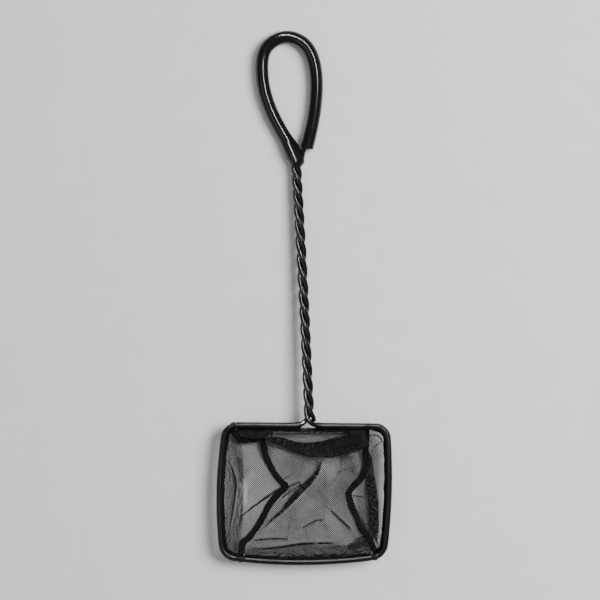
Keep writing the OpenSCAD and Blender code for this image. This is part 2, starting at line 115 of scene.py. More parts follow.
def spline(points, t):
    """Cubic B-spline that starts and ends at the ends of its list."""
    q, t = framed(points), np.atleast_1d(np.asarray(t, float))
    i = np.clip(np.floor(t).astype(int), 0, len(q) - 4)
    f = (t - i).reshape((-1,) + (1,) * (q.ndim - 1))
    return ((1 - f) ** 3 * q[i] + (3 * f**3 - 6 * f * f + 4) * q[i + 1]
            + (3 * f + 3 * f * f - 3 * f**3 + 1) * q[i + 2] + f**3 * q[i + 3]) / 6


def through(points, t):
    """Catmull-Rom curve that passes through every point of its list."""
    q, t = framed(points), np.atleast_1d(np.asarray(t, float))
    i = np.clip(np.floor(t).astype(int), 0, len(q) - 4)
    f = (t - i).reshape((-1,) + (1,) * (q.ndim - 1))
    a, b, c, d = q[i], q[i + 1], q[i + 2], q[i + 3]
    return 0.5 * (2 * b + (c - a) * f + (2 * a - 5 * b + 4 * c - d) * f * f
                  + (3 * b - a - 3 * c + d) * f**3)


def line_of(points, n=60):
    """A smooth line through places that are given in the photograph's pixels."""
    pts = np.array([at(*p) for p in points])
    return through(pts, np.linspace(0, len(pts) - 1, n))


def lengths(path):
    return np.concatenate([[0.0], np.cumsum(np.linalg.norm(np.diff(path, axis=0), axis=1))])


def sampled(values, run, places):
    """Values that are known at lengths of a run, read at other places of it."""
    return np.stack([np.interp(places, run, column) for column in values.T], 1)


def from_ends(n):
    """Steps to the nearer end of a list, for each of its n points."""
    return np.minimum(np.arange(n), np.arange(n)[::-1])


def even(path, step):
    """The same path with points at even steps of about this length."""
    run = lengths(path)
    places = np.linspace(0, run[-1], max(2, int(round(run[-1] / step)) + 1))
    return sampled(path, run, places)


def bezier(a, b, c, d, f):
    f = np.asarray(f, float).reshape(-1, 1)
    return (1 - f) ** 3 * a + 3 * f * (1 - f) ** 2 * b + 3 * f * f * (1 - f) * c + f**3 * d


def between(a, u, b, v, reach, f):
    """Points at shares f of a run that leaves a along u and arrives at b along v."""
    return bezier(a, a + reach[0] * u, b - reach[1] * v, b, f)


def bend(a, u, b, v, reach, n):
    return between(a, u, b, v, reach, np.arange(1, n) / n)


# The hoop, the shaft and the loop

def corner(k):
    x, y = CORNERS[k % 4]
    return np.array([x * HOOP_W / 2, HOOP_Y + y * HOOP_H / 2, LIFT])


def side_l(k):
    return np.linalg.norm(corner(k + 1) - corner(k))


def side_at(k, f):
    out = np.cross(unit(corner(k + 1) - corner(k)), UP)
    return mix(corner(k), corner(k + 1), f) + 4 * f * (1 - f) * BOWS[k % 4] * HOOP_W / 2 * out


def side_dir(k, f):
    return unit(side_at(k, f + 1e-3) - side_at(k, f - 1e-3))


def hoop_at(q):
    """The hoop's wire centre at place q, which is a side's number and a share of that side."""
    n = math.floor(q + 0.5)
    back, ahead = CUT / side_l(n - 1), CUT / side_l(n)
    if not -back < q - n < ahead:
        return side_at(math.floor(q), q - math.floor(q))
    a, d = side_at(n - 1, 1 - back), side_at(n, ahead)
    reach = 0.38 * np.linalg.norm(d - a)
    return bezier(a, a + reach * side_dir(n - 1, 1 - back), d - reach * side_dir(n, ahead),
                  d, (q - n + back) / (back + ahead))[0]


def hoop_dir(q):
    return unit(hoop_at(q + 1e-3) - hoop_at(q - 1e-3))


def hoop_run(a, b, n):
    return np.array([hoop_at(mix(a, b, i / n)) for i in range(n + 1)])


def mouth_at(q, reach, angle=HEM_ANGLE):
    """A point at that distance from the wire's centre, inward and down along the hem's tails."""
    inward = unit(np.cross(UP, hoop_dir(q)))
    return hoop_at(q) + reach * (math.cos(angle) * inward - math.sin(angle) * UP)


def strand_at(k, a):
    """Points of strand k at shares a of the shaft's length."""
    a = np.atleast_1d(np.asarray(a, float))
    axis = np.stack([FORK_X - LEAN * a + 4 * BOW * a * (1 - a), mix(FORK_Y, NECK_Y, a),
                     mix(LIFT, NECK_LIFT, a)], 1)
    turned = a - UNEVEN * np.maximum(0, np.sin(2 * np.pi * (a - 0.5)))
    turn = 2 * np.pi * (k / 3 - 1 / 6 + TURNS * turned)
    return axis + TWIST_R * np.stack([np.cos(turn), 0 * turn, np.sin(turn)], 1)


def strand_dir(k, a):
    return unit(strand_at(k, a + 1e-3) - strand_at(k, a - 1e-3))[0]


LOOP_POINTS = np.array([
    [LOOP_X + s[0] * LOOP_W / 2, NECK_Y + s[1] * LOOP_L, NECK_LIFT if i < NECK else SLEEVE_R]
    for i, s in enumerate(LOOP)])


def loop_at(t):
    return spline(LOOP_POINTS, t)


def loop_dir(t):
    return unit(loop_at(t + 1e-3) - loop_at(t - 1e-3))[0]


def foot(q, way, k, reach, f):
    """The bend from a place on the hoop's top bar, left along way, up to strand k."""
    return between(hoop_at(q), way * hoop_dir(q), strand_at(k, 0)[0], strand_dir(k, 0), reach, f)


def left_foot(f):
    return foot(BAR_LEFT, -1, 0, LEFT_REACH, f)


def right_foot(f):
    return foot(BAR_RIGHT, 1, 2, RIGHT_REACH, f)


STRAND_N = int(30 * TURNS)
steps = np.arange(STRAND_N + 1) / STRAND_N
tip = strand_at(1, 0)[0] + FORK_L * TIP
left_neck = bend(strand_at(1, 1)[0], strand_dir(1, 1), loop_at(WIRE_IN)[0], loop_dir(WIRE_IN),
                 (0.12 * LOOP_L, 0.1 * LOOP_L), 40)
right_neck = bend(loop_at(WIRE_OUT)[0], loop_dir(WIRE_OUT), strand_at(0, 1)[0],
                  -strand_dir(0, 1), (0.14 * LOOP_L, 0.095 * LOOP_L), 40)
wire_path = np.concatenate([
    [tip],
    bend(tip, unit(TIP_WAY), strand_at(1, 0)[0], strand_dir(1, 0), (0.3 * FORK_L, 0.5 * FORK_L), 12),
    strand_at(1, steps), left_neck, loop_at(np.linspace(WIRE_IN, WIRE_OUT, 200)), right_neck,
    strand_at(0, steps[::-1]),
    left_foot(np.arange(19, 0, -1) / 20),
    hoop_run(BAR_LEFT, BAR_RIGHT, 420),
    right_foot(np.arange(1, 20) / 20),
    strand_at(2, steps)])


# Meshes

def piece(name, points, faces, material, nodes=(), slot=None, uv=None):
    """A mesh piece from points in millimetres and faces of three or four corners."""
    faces = np.asarray(faces, np.int32)
    sides = faces.shape[1]
    mesh = bpy.data.meshes.new(name)
    mesh.vertices.add(len(points))
    mesh.vertices.foreach_set("co", (np.asarray(points) * MM).astype(np.float32).ravel())
    mesh.loops.add(faces.size)
    mesh.loops.foreach_set("vertex_index", faces.ravel())
    mesh.polygons.add(len(faces))
    mesh.polygons.foreach_set("loop_start", np.arange(len(faces), dtype=np.int32) * sides)
    mesh.polygons.foreach_set("use_smooth", np.full(len(faces), True))
    if uv is not None:
        layer = mesh.uv_layers.new(name="run")
        layer.data.foreach_set("uv", (np.asarray(uv)[faces.ravel()]).astype(np.float32).ravel())
    mesh.update(calc_edges=True)
    mesh.validate()
    mesh.materials.append(material)
    obj = bpy.data.objects.new(name, mesh)
    bpy.context.scene.collection.objects.link(obj)
    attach(obj, BODY)
    if nodes:
        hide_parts(*nodes)
    return obj


def path_dirs(path):
    d = np.empty_like(path)
    d[1:-1] = path[2:] - path[:-2]
    d[0], d[-1] = path[1] - path[0], path[-1] - path[-2]
    return unit(d)


def carried(path):
    """Frames carried along a path without twist: two directions across it at each point."""
    t = path_dirs(path)
    u = np.empty_like(path)
    start = np.cross(UP, t[0])
    u[0] = unit(start if np.linalg.norm(start) > 0.1 else [1, 0, 0])
    for i in range(1, len(path)):
        v = u[i - 1] - np.dot(u[i - 1], t[i]) * t[i]
        u[i] = v / np.linalg.norm(v)
    return u, np.cross(t, u)


def level(path):
    """Frames kept level across the path: to its left, and the rise square to both."""
    t = path_dirs(path)
    u = unit(np.cross(UP, t))
    return u, np.cross(t, u)


def ring_faces(n, m):
    """Faces between n rings of m points each."""
    i = np.arange(n - 1)[:, None] * m
    j = np.arange(m)[None, :]
    k = (j + 1) % m
    return np.stack([i + j, i + k, i + m + k, i + m + j], -1).reshape(-1, 4)


def ring_points(path, sections, frames):
    u, v = frames
    return path[:, None] + sections[..., :1] * u[:, None] + sections[..., 1:] * v[:, None]


def unrolled(run, around):
    """Flat places of a tube's points: lengths along it, and lengths round it."""
    return np.stack(np.broadcast_arrays(run[:, None], around[None, :]), -1).reshape(-1, 2)


def spokes(m):
    """m angles round a section, and the way outward at each of them."""
    angle = 2 * np.pi * np.arange(m) / m
    return angle, np.stack([np.cos(angle), np.sin(angle)], 1)


def circle(r, n):
    a = 2 * np.pi * (np.arange(n) + 0.5) / n
    return np.stack([r * np.cos(a), r * np.sin(a)], 1)


def round_ends(path, r, n=4):
    """The path with rings added at its ends, and each ring's share of the full radius."""
    t = path_dirs(path)
    a = (np.arange(n) + 1) / n * np.pi / 2
    pull = r * (1 - np.sin(a))
    head = path[0] + t[0] * pull[:, None]
    tail = path[-1] - t[-1] * pull[::-1, None]
    closing = 1 - 0.75 * np.cos(a)
    size = np.concatenate([closing, np.ones(len(path) - 2), closing[::-1]])
    return np.concatenate([head, path[1:-1], tail]), size


def swept(name, path, sections, material, frames=None, **options):
    """A closed solid swept along a path, with a section for each of its points."""
    rings = ring_points(path, sections, frames or level(path))
    n, m = rings.shape[:2]
    points = np.concatenate([rings.reshape(-1, 3), [path[0]], [path[-1]]])
    run = lengths(path)
    around = np.linspace(0, 1, m, endpoint=False) * 2 * np.pi * np.linalg.norm(sections[0], axis=1).mean()
    uv = unrolled(run, around)
    uv = np.concatenate([uv, uv[:1], uv[-1:]])
    faces = np.concatenate([ring_faces(n, m), fan(n, m)])
    piece(name, points, faces, material, uv=uv, **options)


def fan(n, m):
    """End faces from a middle point, as quads that take two steps of the ring each."""
    out = []
    for j in range(0, m - 1, 2):
        a, b, c = j, j + 1, (j + 2) % m
        out.append([n * m, c, b, a])
        e = (n - 1) * m
        out.append([n * m + 1, e + a, e + b, e + c])
    return np.array(out)


# Materials

def new_material(name, gloss, tone, stops):
    """A material whose colour runs between two stops with a noise, and its node tools."""
    m = bpy.data.materials.new(name)
    m.use_nodes = True
    nodes, links = m.node_tree.nodes, m.node_tree.links
    shader = nodes["Principled BSDF"]
    shader.inputs["Specular IOR Level"].default_value = gloss
    r = nodes.new("ShaderNodeValToRGB")
    for element, (place, colour) in zip(r.color_ramp.elements, stops):
        element.position = place
        element.color = (*colour, 1)
    links.new(noise(nodes, links, *tone), r.inputs["Fac"])
    links.new(r.outputs["Color"], shader.inputs["Base Color"])
    return m, nodes, links, shader


def noise(nodes, links, scale, detail):
    n = nodes.new("ShaderNodeTexNoise")
    n.inputs["Scale"].default_value = scale
    n.inputs["Detail"].default_value = detail
    place = nodes.new("ShaderNodeTexCoord")
    links.new(place.outputs["Object"], n.inputs["Vector"])
    return n.outputs["Fac"]


def scaled(nodes, links, fac, low, high):
    r = nodes.new("ShaderNodeMapRange")
    r.inputs["To Min"].default_value = low
    r.inputs["To Max"].default_value = high
    links.new(fac, r.inputs["Value"])
    return r.outputs["Result"]


def bump(nodes, links, shader, height, strength, distance):
    b = nodes.new("ShaderNodeBump")
    b.inputs["Strength"].default_value = strength
    b.inputs["Distance"].default_value = distance
    links.new(height, b.inputs["Height"])
    links.new(b.outputs["Normal"], shader.inputs["Normal"])


def maths(nodes, links, operation, *values):
    """A sum on values that are numbers or other nodes' results."""
    n = nodes.new("ShaderNodeMath")
    n.operation = operation
    for socket, value in zip(n.inputs, values):
        if isinstance(value, float):
            socket.default_value = value
        else:
            links.new(value, socket)
    return n.outputs["Value"]


def coating(name, gloss, tone, stops, wear, rough, skin, strength, depth):
    """A smooth coat, with an uneven polish and fine bumps, each from its own noise."""
    m, nodes, links, shader = new_material(name, gloss, tone, stops)
    links.new(scaled(nodes, links, noise(nodes, links, *wear), *rough), shader.inputs["Roughness"])
    bump(nodes, links, shader, noise(nodes, links, *skin), strength, depth)
    return m


def nylon(name, dark, light, rough):
    m, nodes, links, shader = new_material(name, 0.25, (500, 4), [(0.3, dark), (0.72, light)])
    shader.inputs["Roughness"].default_value = rough
    return m


def woven(name, rough, gloss):
    """Tape: fine ribs along and across the run, and a slightly worn tone."""
    m, nodes, links, shader = new_material(
        name, gloss, (700, 5), [(0.3, (0.001, 0.0014, 0.0014)), (0.75, (0.004, 0.0045, 0.0045))])
    uv = nodes.new("ShaderNodeUVMap")
    uv.uv_map = "run"
    split = nodes.new("ShaderNodeSeparateXYZ")
    links.new(uv.outputs["UV"], split.inputs["Vector"])
    turns = [maths(nodes, links, "MULTIPLY", split.outputs[axis], 2 * math.pi / RIB) for axis in "XY"]
    ribs = maths(nodes, links, "MULTIPLY", *[maths(nodes, links, "SINE", turn) for turn in turns])
    shader.inputs["Roughness"].default_value = rough
    bump(nodes, links, shader, ribs, 0.3, 0.00006)
    return m


RIB = 0.55  # from one rib of the tape to the next
WIRE = coating("coated_wire", 0.5, (900, 4),
               [(0.35, (0.002, 0.002, 0.0025)), (0.7, (0.005, 0.005, 0.0055))],
               (420, 5), (0.12, 0.2), (700, 4), 0.25, 0.0002)
VINYL = coating("vinyl_sleeve", 0.4, (260, 4),
                [(0.3, (0.002, 0.002, 0.0025)), (0.75, (0.006, 0.006, 0.0065))],
                (160, 5), (0.1, 0.2), (240, 3), 0.2, 0.0004)
MESH = nylon("net_mesh", (0.003, 0.004, 0.0035), (0.01, 0.012, 0.011), 0.5)
TAPE = woven("binding_tape", 0.25, 0.35)
BAND = woven("seam_tape", 0.8, 0.08)
THREAD = nylon("sewing_thread", (0.005, 0.0055, 0.0055), (0.016, 0.017, 0.017), 0.45)


# Wire and sleeve

def frame_wire():
    path, size = round_ends(even(wire_path, 0.6), 0.35)
    swept("frame_wire_look", path, circle(WIRE_R, 20)[None] * size[:, None, None], WIRE, carried(path),
          nodes=["frame_wire"], slot="coated_wire")


frame_wire()

GRIP = WIRE_R + 0.1  # the sleeve's bore from the middle of a strand that it grips
STRETCH_L = 17.0  # length of the sleeve that the strands stretch
CUT_WALL, CUT_SOFT = 0.35, 0.22  # the sleeve's wall at the neck's cut, and how far its cuts swell
BLEND = 3.2  # how closely the stretched skin follows each strand
FLOOR_GAP = 0.02  # least height above the surface under the net


def crossing(line, c, t):
    """Where a strand crosses the plane through c, square to t, or None."""
    d = (line - c) @ t
    near = np.linalg.norm(line - c, axis=1) < 9
    hits = np.nonzero((d[:-1] * d[1:] <= 0) & near[:-1])[0]
    if not len(hits):
        return None
    i = hits[np.argmin(np.linalg.norm(line[hits] - c, axis=1))]
    return mix(line[i], line[i + 1], d[i] / (d[i] - d[i + 1] + 1e-12))


def sleeve():
    """The tube over the loop: round on its way, and stretched over the strands at the neck."""
    path = even(loop_at(np.linspace(0, len(LOOP) - 1, 500)), 0.7)
    u, v = level(path)
    t = path_dirs(path)
    kept = np.concatenate([strand_at(1, steps), left_neck, loop_at(np.linspace(WIRE_IN, 9, 60))])
    parting = np.concatenate([strand_at(0, steps), right_neck[::-1]])
    m = 40
    angle, n = spokes(m)
    outer, inner = [], []
    run = lengths(path)
    for i, c in enumerate(path):
        wall = mix(CUT_WALL, WALL, float(smooth(run[i] / 2.5)))
        own = np.full(m, SLEEVE_R)
        if run[i] < STRETCH_L + 9:
            # the third strand ends here, and the sleeve stays stretched to both sides
            to_left = np.interp(run[i], [0, 6, 12, 20], [3.2, 5.05, 4.85, 3.9]) - GRIP - wall
            to_right = np.interp(run[i], [0, 2.2, 6, 12, 20], [2.9, 4.8, 4.8, 4.45, 3.9]) - GRIP - wall
            held = [n[:, 0] * to_left + GRIP, -n[:, 0] * to_right + GRIP]
            for line in (kept, parting):
                p = crossing(line, c, t[i])
                if p is None:
                    continue
                q = np.array([(p - c) @ u[i], (p - c) @ v[i]])
                loose = 1.6 * max(0.0, np.linalg.norm(q) - 3.6) ** 1.5 if line is parting else 0.0
                held.append(n @ q + GRIP - loose)
            skin = np.log(np.exp(BLEND * np.array(held)).sum(0)) / BLEND + wall
            least = mix(2.9, 3.5, min(1, run[i] / STRETCH_L))
            share = float(smooth((run[i] - STRETCH_L + 5) / 10))
            own = mix(np.maximum(skin, least), own, share)
        turn = (np.roll(own, -1) - np.roll(own, 1)) / (2 * 2 * np.pi / m)
        around = np.stack([-n[:, 1], n[:, 0]], 1)
        outer.append(own[:, None] * n + turn[:, None] * around)
        inner.append((own - wall)[:, None] * n + turn[:, None] * around)
    outer, inner = np.array(outer), np.array(inner)
    skin = ring_points(path, outer, (u, v))
    skin[..., 2] = np.maximum(skin[..., 2], FLOOR_GAP)
    hollow = ring_points(path, inner, (u, v))
    middle = (skin + hollow) / 2
    ends = [mix(middle[i], side[i], 0.55) + way * CUT_SOFT * t[i]
            for i, way in ((0, -1), (-1, 1)) for side in (skin, hollow)]
    rings = np.concatenate([skin, [ends[2]], [ends[3]], hollow[::-1], [ends[1]], [ends[0]], skin[:1]])
    count = len(rings) - 1
    points = rings[:-1].reshape(-1, 3)
    faces = ring_faces(count + 1, m) % (count * m)
    run = np.concatenate([run, [run[-1]] * 2, run[::-1], [0, 0]])
    piece("loop_sleeve_look", points, faces, VINYL, ["loop_sleeve"], "vinyl_sleeve",
          uv=unrolled(run, angle * SLEEVE_R))


sleeve()


# Seams, hems and tacks

LEFT_SEAM = [
    (228.5, 426, 8.6), (234, 431.5, 7), (240, 439.5, 5.2), (250, 440, 4.4), (261, 439.3, 3.6),
    (263.8, 447, 2.4), (265.4, 455, 1.4), (268.6, 463, 0.8), (272.2, 470, 0.55), (277, 477.5, 0.5),
    (283, 484, 0.5), (285, 486.5, 0.5), (283, 490, 0.5), (277, 496, 0.5), (269.2, 505.5, 0.5),
    (260, 523, 0.6), (250.2, 537, 1.5), (243.5, 543, 3), (241.5, 551, 6), (240.2, 558, 8.6)]
RIGHT_SEAM = [
    (367, 426, 8.6), (366.4, 436, 6.6), (366, 447, 4.6), (365.6, 454, 3), (366, 463, 1.7),
    (364.5, 472, 0.9), (360.5, 480, 0.6), (353.8, 486.6, 0.5), (349.2, 493, 0.5),
    (350, 501, 0.5), (352.8, 509, 0.5), (357.4, 518.5, 0.5), (361.6, 529, 0.7),
    (368.6, 538.3, 1.8), (374, 549, 5), (377.6, 556, 8.6)]


def seam_line(points):
    return even(line_of(points, 400), 0.4)


left_line, right_line = seam_line(LEFT_SEAM), seam_line(RIGHT_SEAM)


def wobble(n, step, seed, scale):
    """Smooth random values along a run, one every step points or so."""
    r = np.random.default_rng(seed)
    knots = r.normal(0, scale, max(4, n // step + 3))
    return through(knots[:, None], np.linspace(0, len(knots) - 1, n))[:, 0]


def tape_section(w, t):
    """A folded tape: flat with round edges, and a slight dip along the middle of its upper side."""
    half = [(1, 0), (0.96, 0.5), (0.82, 0.92), (0.45, 1)]
    upper = half + [(0, 0.96)] + [(-x, y) for x, y in half[:0:-1]]
    lower = [(-x, -y) for x, y in half] + [(0, -1)] + [(x, -y) for x, y in half[:0:-1]]
    return np.array(upper + lower) * np.array([w / 2, t / 2])


def seam_band(name, line, node, seed, knot=None):
    """A seam's tape, a little uneven, and swollen where the cloth is knotted under it."""
    n = len(line)
    width = 1 + wobble(n, 5, seed, 0.06) + 0.02 * np.cos(2 * np.pi * lengths(line) / 1.6)
    width = width * mix(0.85, 1.0, smooth(from_ends(n) / 6))
    thick = 1 + wobble(n, 4, seed + 1, 0.06)
    if knot is not None:
        lump = np.exp(-((np.linalg.norm(line[:, :2] - at(*knot)[:2], axis=1) / 1.9) ** 2))
        width, thick = width * (1 + 0.3 * lump), thick * (1 + 0.5 * lump)
    base = tape_section(0.94 * BAND_W, BAND_T)
    sections = base[None] * np.stack([width, thick], 1)[:, None]
    sections[..., 1] = np.maximum(sections[..., 1], 1.5 * FLOOR_GAP - line[:, 2:])
    swept(name, line, sections, BAND, nodes=[node], slot="binding_tape")


seam_band("left_seam_tape", left_line, "left_seam_binding", 11, knot=(286, 485.5))
seam_band("right_seam_tape", right_line, "right_seam_binding", 21)


def stitch_run(name, threads, r):
    """Many short closed threads in one piece: each is a list of points."""
    all_points, all_faces, base, sides = [], [], 0, 6
    for p in threads:
        p, size = round_ends(p, r)
        rings = ring_points(p, circle(r, sides)[None] * size[:, None, None], carried(p))
        n = len(p)
        all_points += [rings.reshape(-1, 3), p[:1], p[-1:]]
        all_faces += [ring_faces(n, sides) + base, fan(n, sides) + base]
        base += n * sides + 2
    piece(name, np.concatenate(all_points), np.concatenate(all_faces), THREAD, slot="binding_tape")


def overlock(name, line, pitch, half, lift, r):
    """A serging thread: loops across the tape's upper side, a little slanted."""
    run = lengths(line)
    u, v = level(line)
    found = []
    for k in range(int((run[-1] - 2) / pitch)):
        s = 1 + k * pitch
        places = s + pitch * np.array([0, 0.12, 0.25, 0.4, 0.55, 0.68, 0.8]) * 1.1
        across = half * np.array([-1.04, -0.8, -0.4, 0, 0.4, 0.8, 1.04])
        rise = lift * np.array([0.1, 0.85, 1.05, 1.02, 1.05, 0.85, 0.1])
        p, left, top = (sampled(f, run, places) for f in (line, u, v))
        found.append(p + across[:, None] * left + rise[:, None] * top)
    stitch_run(name, found, r)


STITCH_R = 0.14  # the sewing thread
STITCH_PITCH = 1.5  # from one loop of a seam's serging to the next
HEM_PITCH = 2.4  # from one stitch of a hem to the next
ROW_REACH = 3.15  # a hem's row of stitches, from the wire's centre
EDGE_W, EDGE_T = 2.3, 0.7  # the tape on the free edge under the fork

for side, line in (("left", left_line), ("right", right_line)):
    overlock(side + "_seam_stitches", line, STITCH_PITCH, BAND_W / 2, BAND_T / 2, STITCH_R)


def hem_section(n):
    """Tape round the wire with its two tails together, along the tails' own slant."""
    gap = (CLOTH_T + 2 * HEM_SLIP) / 2
    outer, inner = math.asin((gap + HEM_T) / HEM_OUT), math.asin(gap / HEM_IN)
    tail = [(HEM_REACH, gap), (HEM_REACH + 0.05, gap + HEM_T / 2), (HEM_REACH, gap + HEM_T),
            (mix(HEM_OUT, HEM_REACH, 0.5), gap + HEM_T)]
    points = tail + [(HEM_OUT * math.cos(a), HEM_OUT * math.sin(a))
                     for a in np.linspace(outer, 2 * math.pi - outer, n)]
    points += [(x, -y) for x, y in tail[::-1]]
    points += [(HEM_IN * math.cos(a), HEM_IN * math.sin(a))
               for a in np.linspace(2 * math.pi - inner, inner, 14)]
    p = np.array(points)
    c, s = math.cos(HEM_ANGLE), math.sin(HEM_ANGLE)
    return np.stack([p[:, 0] * c + p[:, 1] * s, p[:, 1] * c - p[:, 0] * s], 1)


def hem(name, path, seed):
    """One length of hem, whose tails reach a little unevenly, as sewing draws them in."""
    path = even(path, 0.5)
    n = len(path)
    base = hem_section(26)
    grow = 1 + wobble(n, 5, seed, 0.012)
    tail = wobble(n, 6, seed + 3, 0.25) + 0.12 * np.cos(2 * np.pi * lengths(path) / HEM_PITCH)
    sections = np.repeat(base[None], n, 0) * grow[:, None, None]
    slant = np.array([math.cos(HEM_ANGLE), -math.sin(HEM_ANGLE)])
    far = np.clip((base @ slant - HEM_OUT) / (HEM_REACH - HEM_OUT), 0, 1)
    sections += (tail[:, None] * far[None])[..., None] * slant
    rings = ring_points(path, sections, level(path))
    m = rings.shape[1]
    around = lengths(np.concatenate([base, base[:1]]))[:-1]
    k = np.arange(m // 2 - 1)
    first = np.stack([k, m - 1 - k, m - 2 - k, k + 1], 1)
    last = first[:, ::-1] + (n - 1) * m
    faces = np.concatenate([ring_faces(n, m), first, last])
    piece(name + "_look", rings.reshape(-1, 3), faces, TAPE, [name], "binding_tape",
          uv=unrolled(lengths(path), around))


def tack_half(k):
    return (BAND_W / 2 + BAND_SLIP) / side_l(k)


lead = np.linspace(HEM_LEAD, 0.02, 16)
HEMS = [
    ("hem_top_left", np.concatenate([left_foot(lead), hoop_run(BAR_LEFT, TACKS[0] - tack_half(3), 200)])),
    ("hem_left", hoop_run(TACKS[0] + tack_half(0), TACKS[1] - tack_half(1), 400)),
    ("hem_bottom", hoop_run(TACKS[1] + tack_half(1), TACKS[2] - tack_half(1), 400)),
    ("hem_right", hoop_run(TACKS[2] + tack_half(1), TACKS[3] - tack_half(3), 400)),
    ("hem_top_right", np.concatenate([hoop_run(TACKS[3] + tack_half(3), BAR_RIGHT, 200),
                                      right_foot(lead[::-1])]))]
for i, (name, line) in enumerate(HEMS):
    hem(name, line, 40 + i)


def hem_stitches():
    """A running stitch through both tails of every hem, just inside the wire."""
    found = []
    for name, line in HEMS:
        line = even(line, 0.4)
        u, v = level(line)
        slant = math.cos(HEM_ANGLE) * u - math.sin(HEM_ANGLE) * v
        square = math.sin(HEM_ANGLE) * u + math.cos(HEM_ANGLE) * v
        run = lengths(line)
        count = int(run[-1] / HEM_PITCH)
        pitch = run[-1] / count
        for k in range(count):
            places = pitch * (k + 0.12 + 0.76 * np.linspace(0, 1, 5))
            p, a, b = (sampled(f, run, places) for f in (line, slant, square))
            for side in (1, -1):
                rise = side * (CLOTH_T / 2 + HEM_SLIP + HEM_T
                               + STITCH_R * np.array([-1.2, 0.3, 0.7, 0.3, -1.2]))
                found.append(p + ROW_REACH * a + rise[:, None] * b)
    stitch_run("hem_stitches", found, 0.13)


hem_stitches()


def fork_edge():
    """The bag's bound edge, which runs straight under the fork from one hem to the other."""
    line = even(line_of([(286, 428.8, 7.3), (296, 429.4, 7.2), (308, 429.8, 7), (320, 429.5, 7.2),
                         (333, 428.9, 7.3)]), 0.4)
    width = 1 + wobble(len(line), 4, 61, 0.05)
    sections = tape_section(EDGE_W, EDGE_T)[None] * width[:, None, None]
    swept("fork_edge_tape", line, sections, TAPE, slot="binding_tape")
    overlock("fork_edge_stitches", line, 1.6, EDGE_W / 2, EDGE_T / 2, 0.11)


fork_edge()


def tack(name, q, k, seed):
    """A seam's tape wound round the wire: turns of tape, each a little askew."""
    half = BAND_W / 2 / side_l(k)
    path = even(hoop_run(q - half, q + half, 40), 0.15)
    n, m = len(path), 28
    angle, out = spokes(m)
    r = np.random.default_rng(seed)
    run = lengths(path)
    swell = np.sin(np.pi * np.clip(run / run[-1], 0.04, 0.96)) ** 0.35
    turns = 0.16 * np.cos(2 * np.pi * run[:, None] / 1.25 + angle[None] + r.random() * 6)
    lumps = sum(high * np.cos(times * angle + r.random() * 6)[None] for high, times in ((0.12, 2), (0.08, 3)))
    radius = HEM_IN + (TACK_T + turns + lumps - 0.1) * swell[:, None]
    sections = radius[..., None] * out[None]
    inner = np.broadcast_to(HEM_IN * out, sections.shape)
    frames = level(path)
    rings = np.concatenate([ring_points(path, sections, frames), ring_points(path, inner, frames)[::-1]])
    faces = ring_faces(2 * n + 1, m) % (2 * n * m)
    piece(name + "_look", rings.reshape(-1, 3), faces, TAPE, [name], "binding_tape",
          uv=unrolled(np.concatenate([run, run[::-1]]), angle * TACK_OUT))


for i, name in enumerate(["top_left", "bottom_left", "bottom_right", "top_right"]):
    tack("tack_" + name, TACKS[i], (3, 1, 1, 3)[i], i + 1)


# The bag's cloth

def spread(rows, n, m):
    """A grid of n by m points through rows of points; rows may differ in their number."""
    width = 24
    dense = []
    for row in rows:
        line = through(row, np.linspace(0, len(row) - 1, 200))
        run = lengths(line)
        dense.append(sampled(line, run, np.linspace(0, run[-1], width)))
    down = through(dense, np.linspace(0, len(rows) - 1, n))
    across = through(np.swapaxes(down, 0, 1), np.linspace(0, width - 1, m))
    return np.swapaxes(across, 0, 1)


def flat_places(grid):
    """Flat places of a sheet's points: their places in plan, spread where the sheet climbs."""
    flat = grid[..., :2].copy()
    for axis in (0, 1):
        d = np.diff(grid, axis=axis)
        run = np.linalg.norm(d, axis=2) - np.linalg.norm(d[..., :2], axis=2)
        added = np.cumsum(run[..., None] * unit(d[..., :2]), axis)
        added = np.concatenate([np.zeros_like(added.take([0], axis)), added], axis)
        flat += added - added.take([added.shape[axis] // 2], axis)
    return flat


def beside(points, line):
    """Signed distance to a line in plan, left being positive; the share of its run; its left.

    Farther off, the share and the left are means over more of the line, so they never jump.
    """
    p = points[..., :2].reshape(-1, 2)
    a, b = line[:-1, :2], line[1:, :2]
    ab = b - a
    rel = p[:, None] - a[None]
    t = np.clip((rel * ab).sum(-1) / (ab**2).sum(-1), 0, 1)
    gap = rel - t[..., None] * ab
    d = np.linalg.norm(gap, axis=2)
    i = d.argmin(1)
    k = np.arange(len(p))
    near = d[k, i]
    side = np.sign(ab[i, 0] * gap[k, i, 1] - ab[i, 1] * gap[k, i, 0])
    weight = np.exp((near[:, None] ** 2 - d**2) / (2 * (0.2 * near[:, None] + 0.05) ** 2))
    weight /= weight.sum(1, keepdims=True)
    run = lengths(line[:, :2])
    share = (weight * (run[:-1] + t * np.diff(run))).sum(1) / run[-1]
    left = weight @ unit(np.stack([-ab[:, 1], ab[:, 0]], 1))
    shape = points.shape[:-1]
    return (side * near).reshape(shape), share.reshape(shape), unit(left).reshape(shape + (2,))


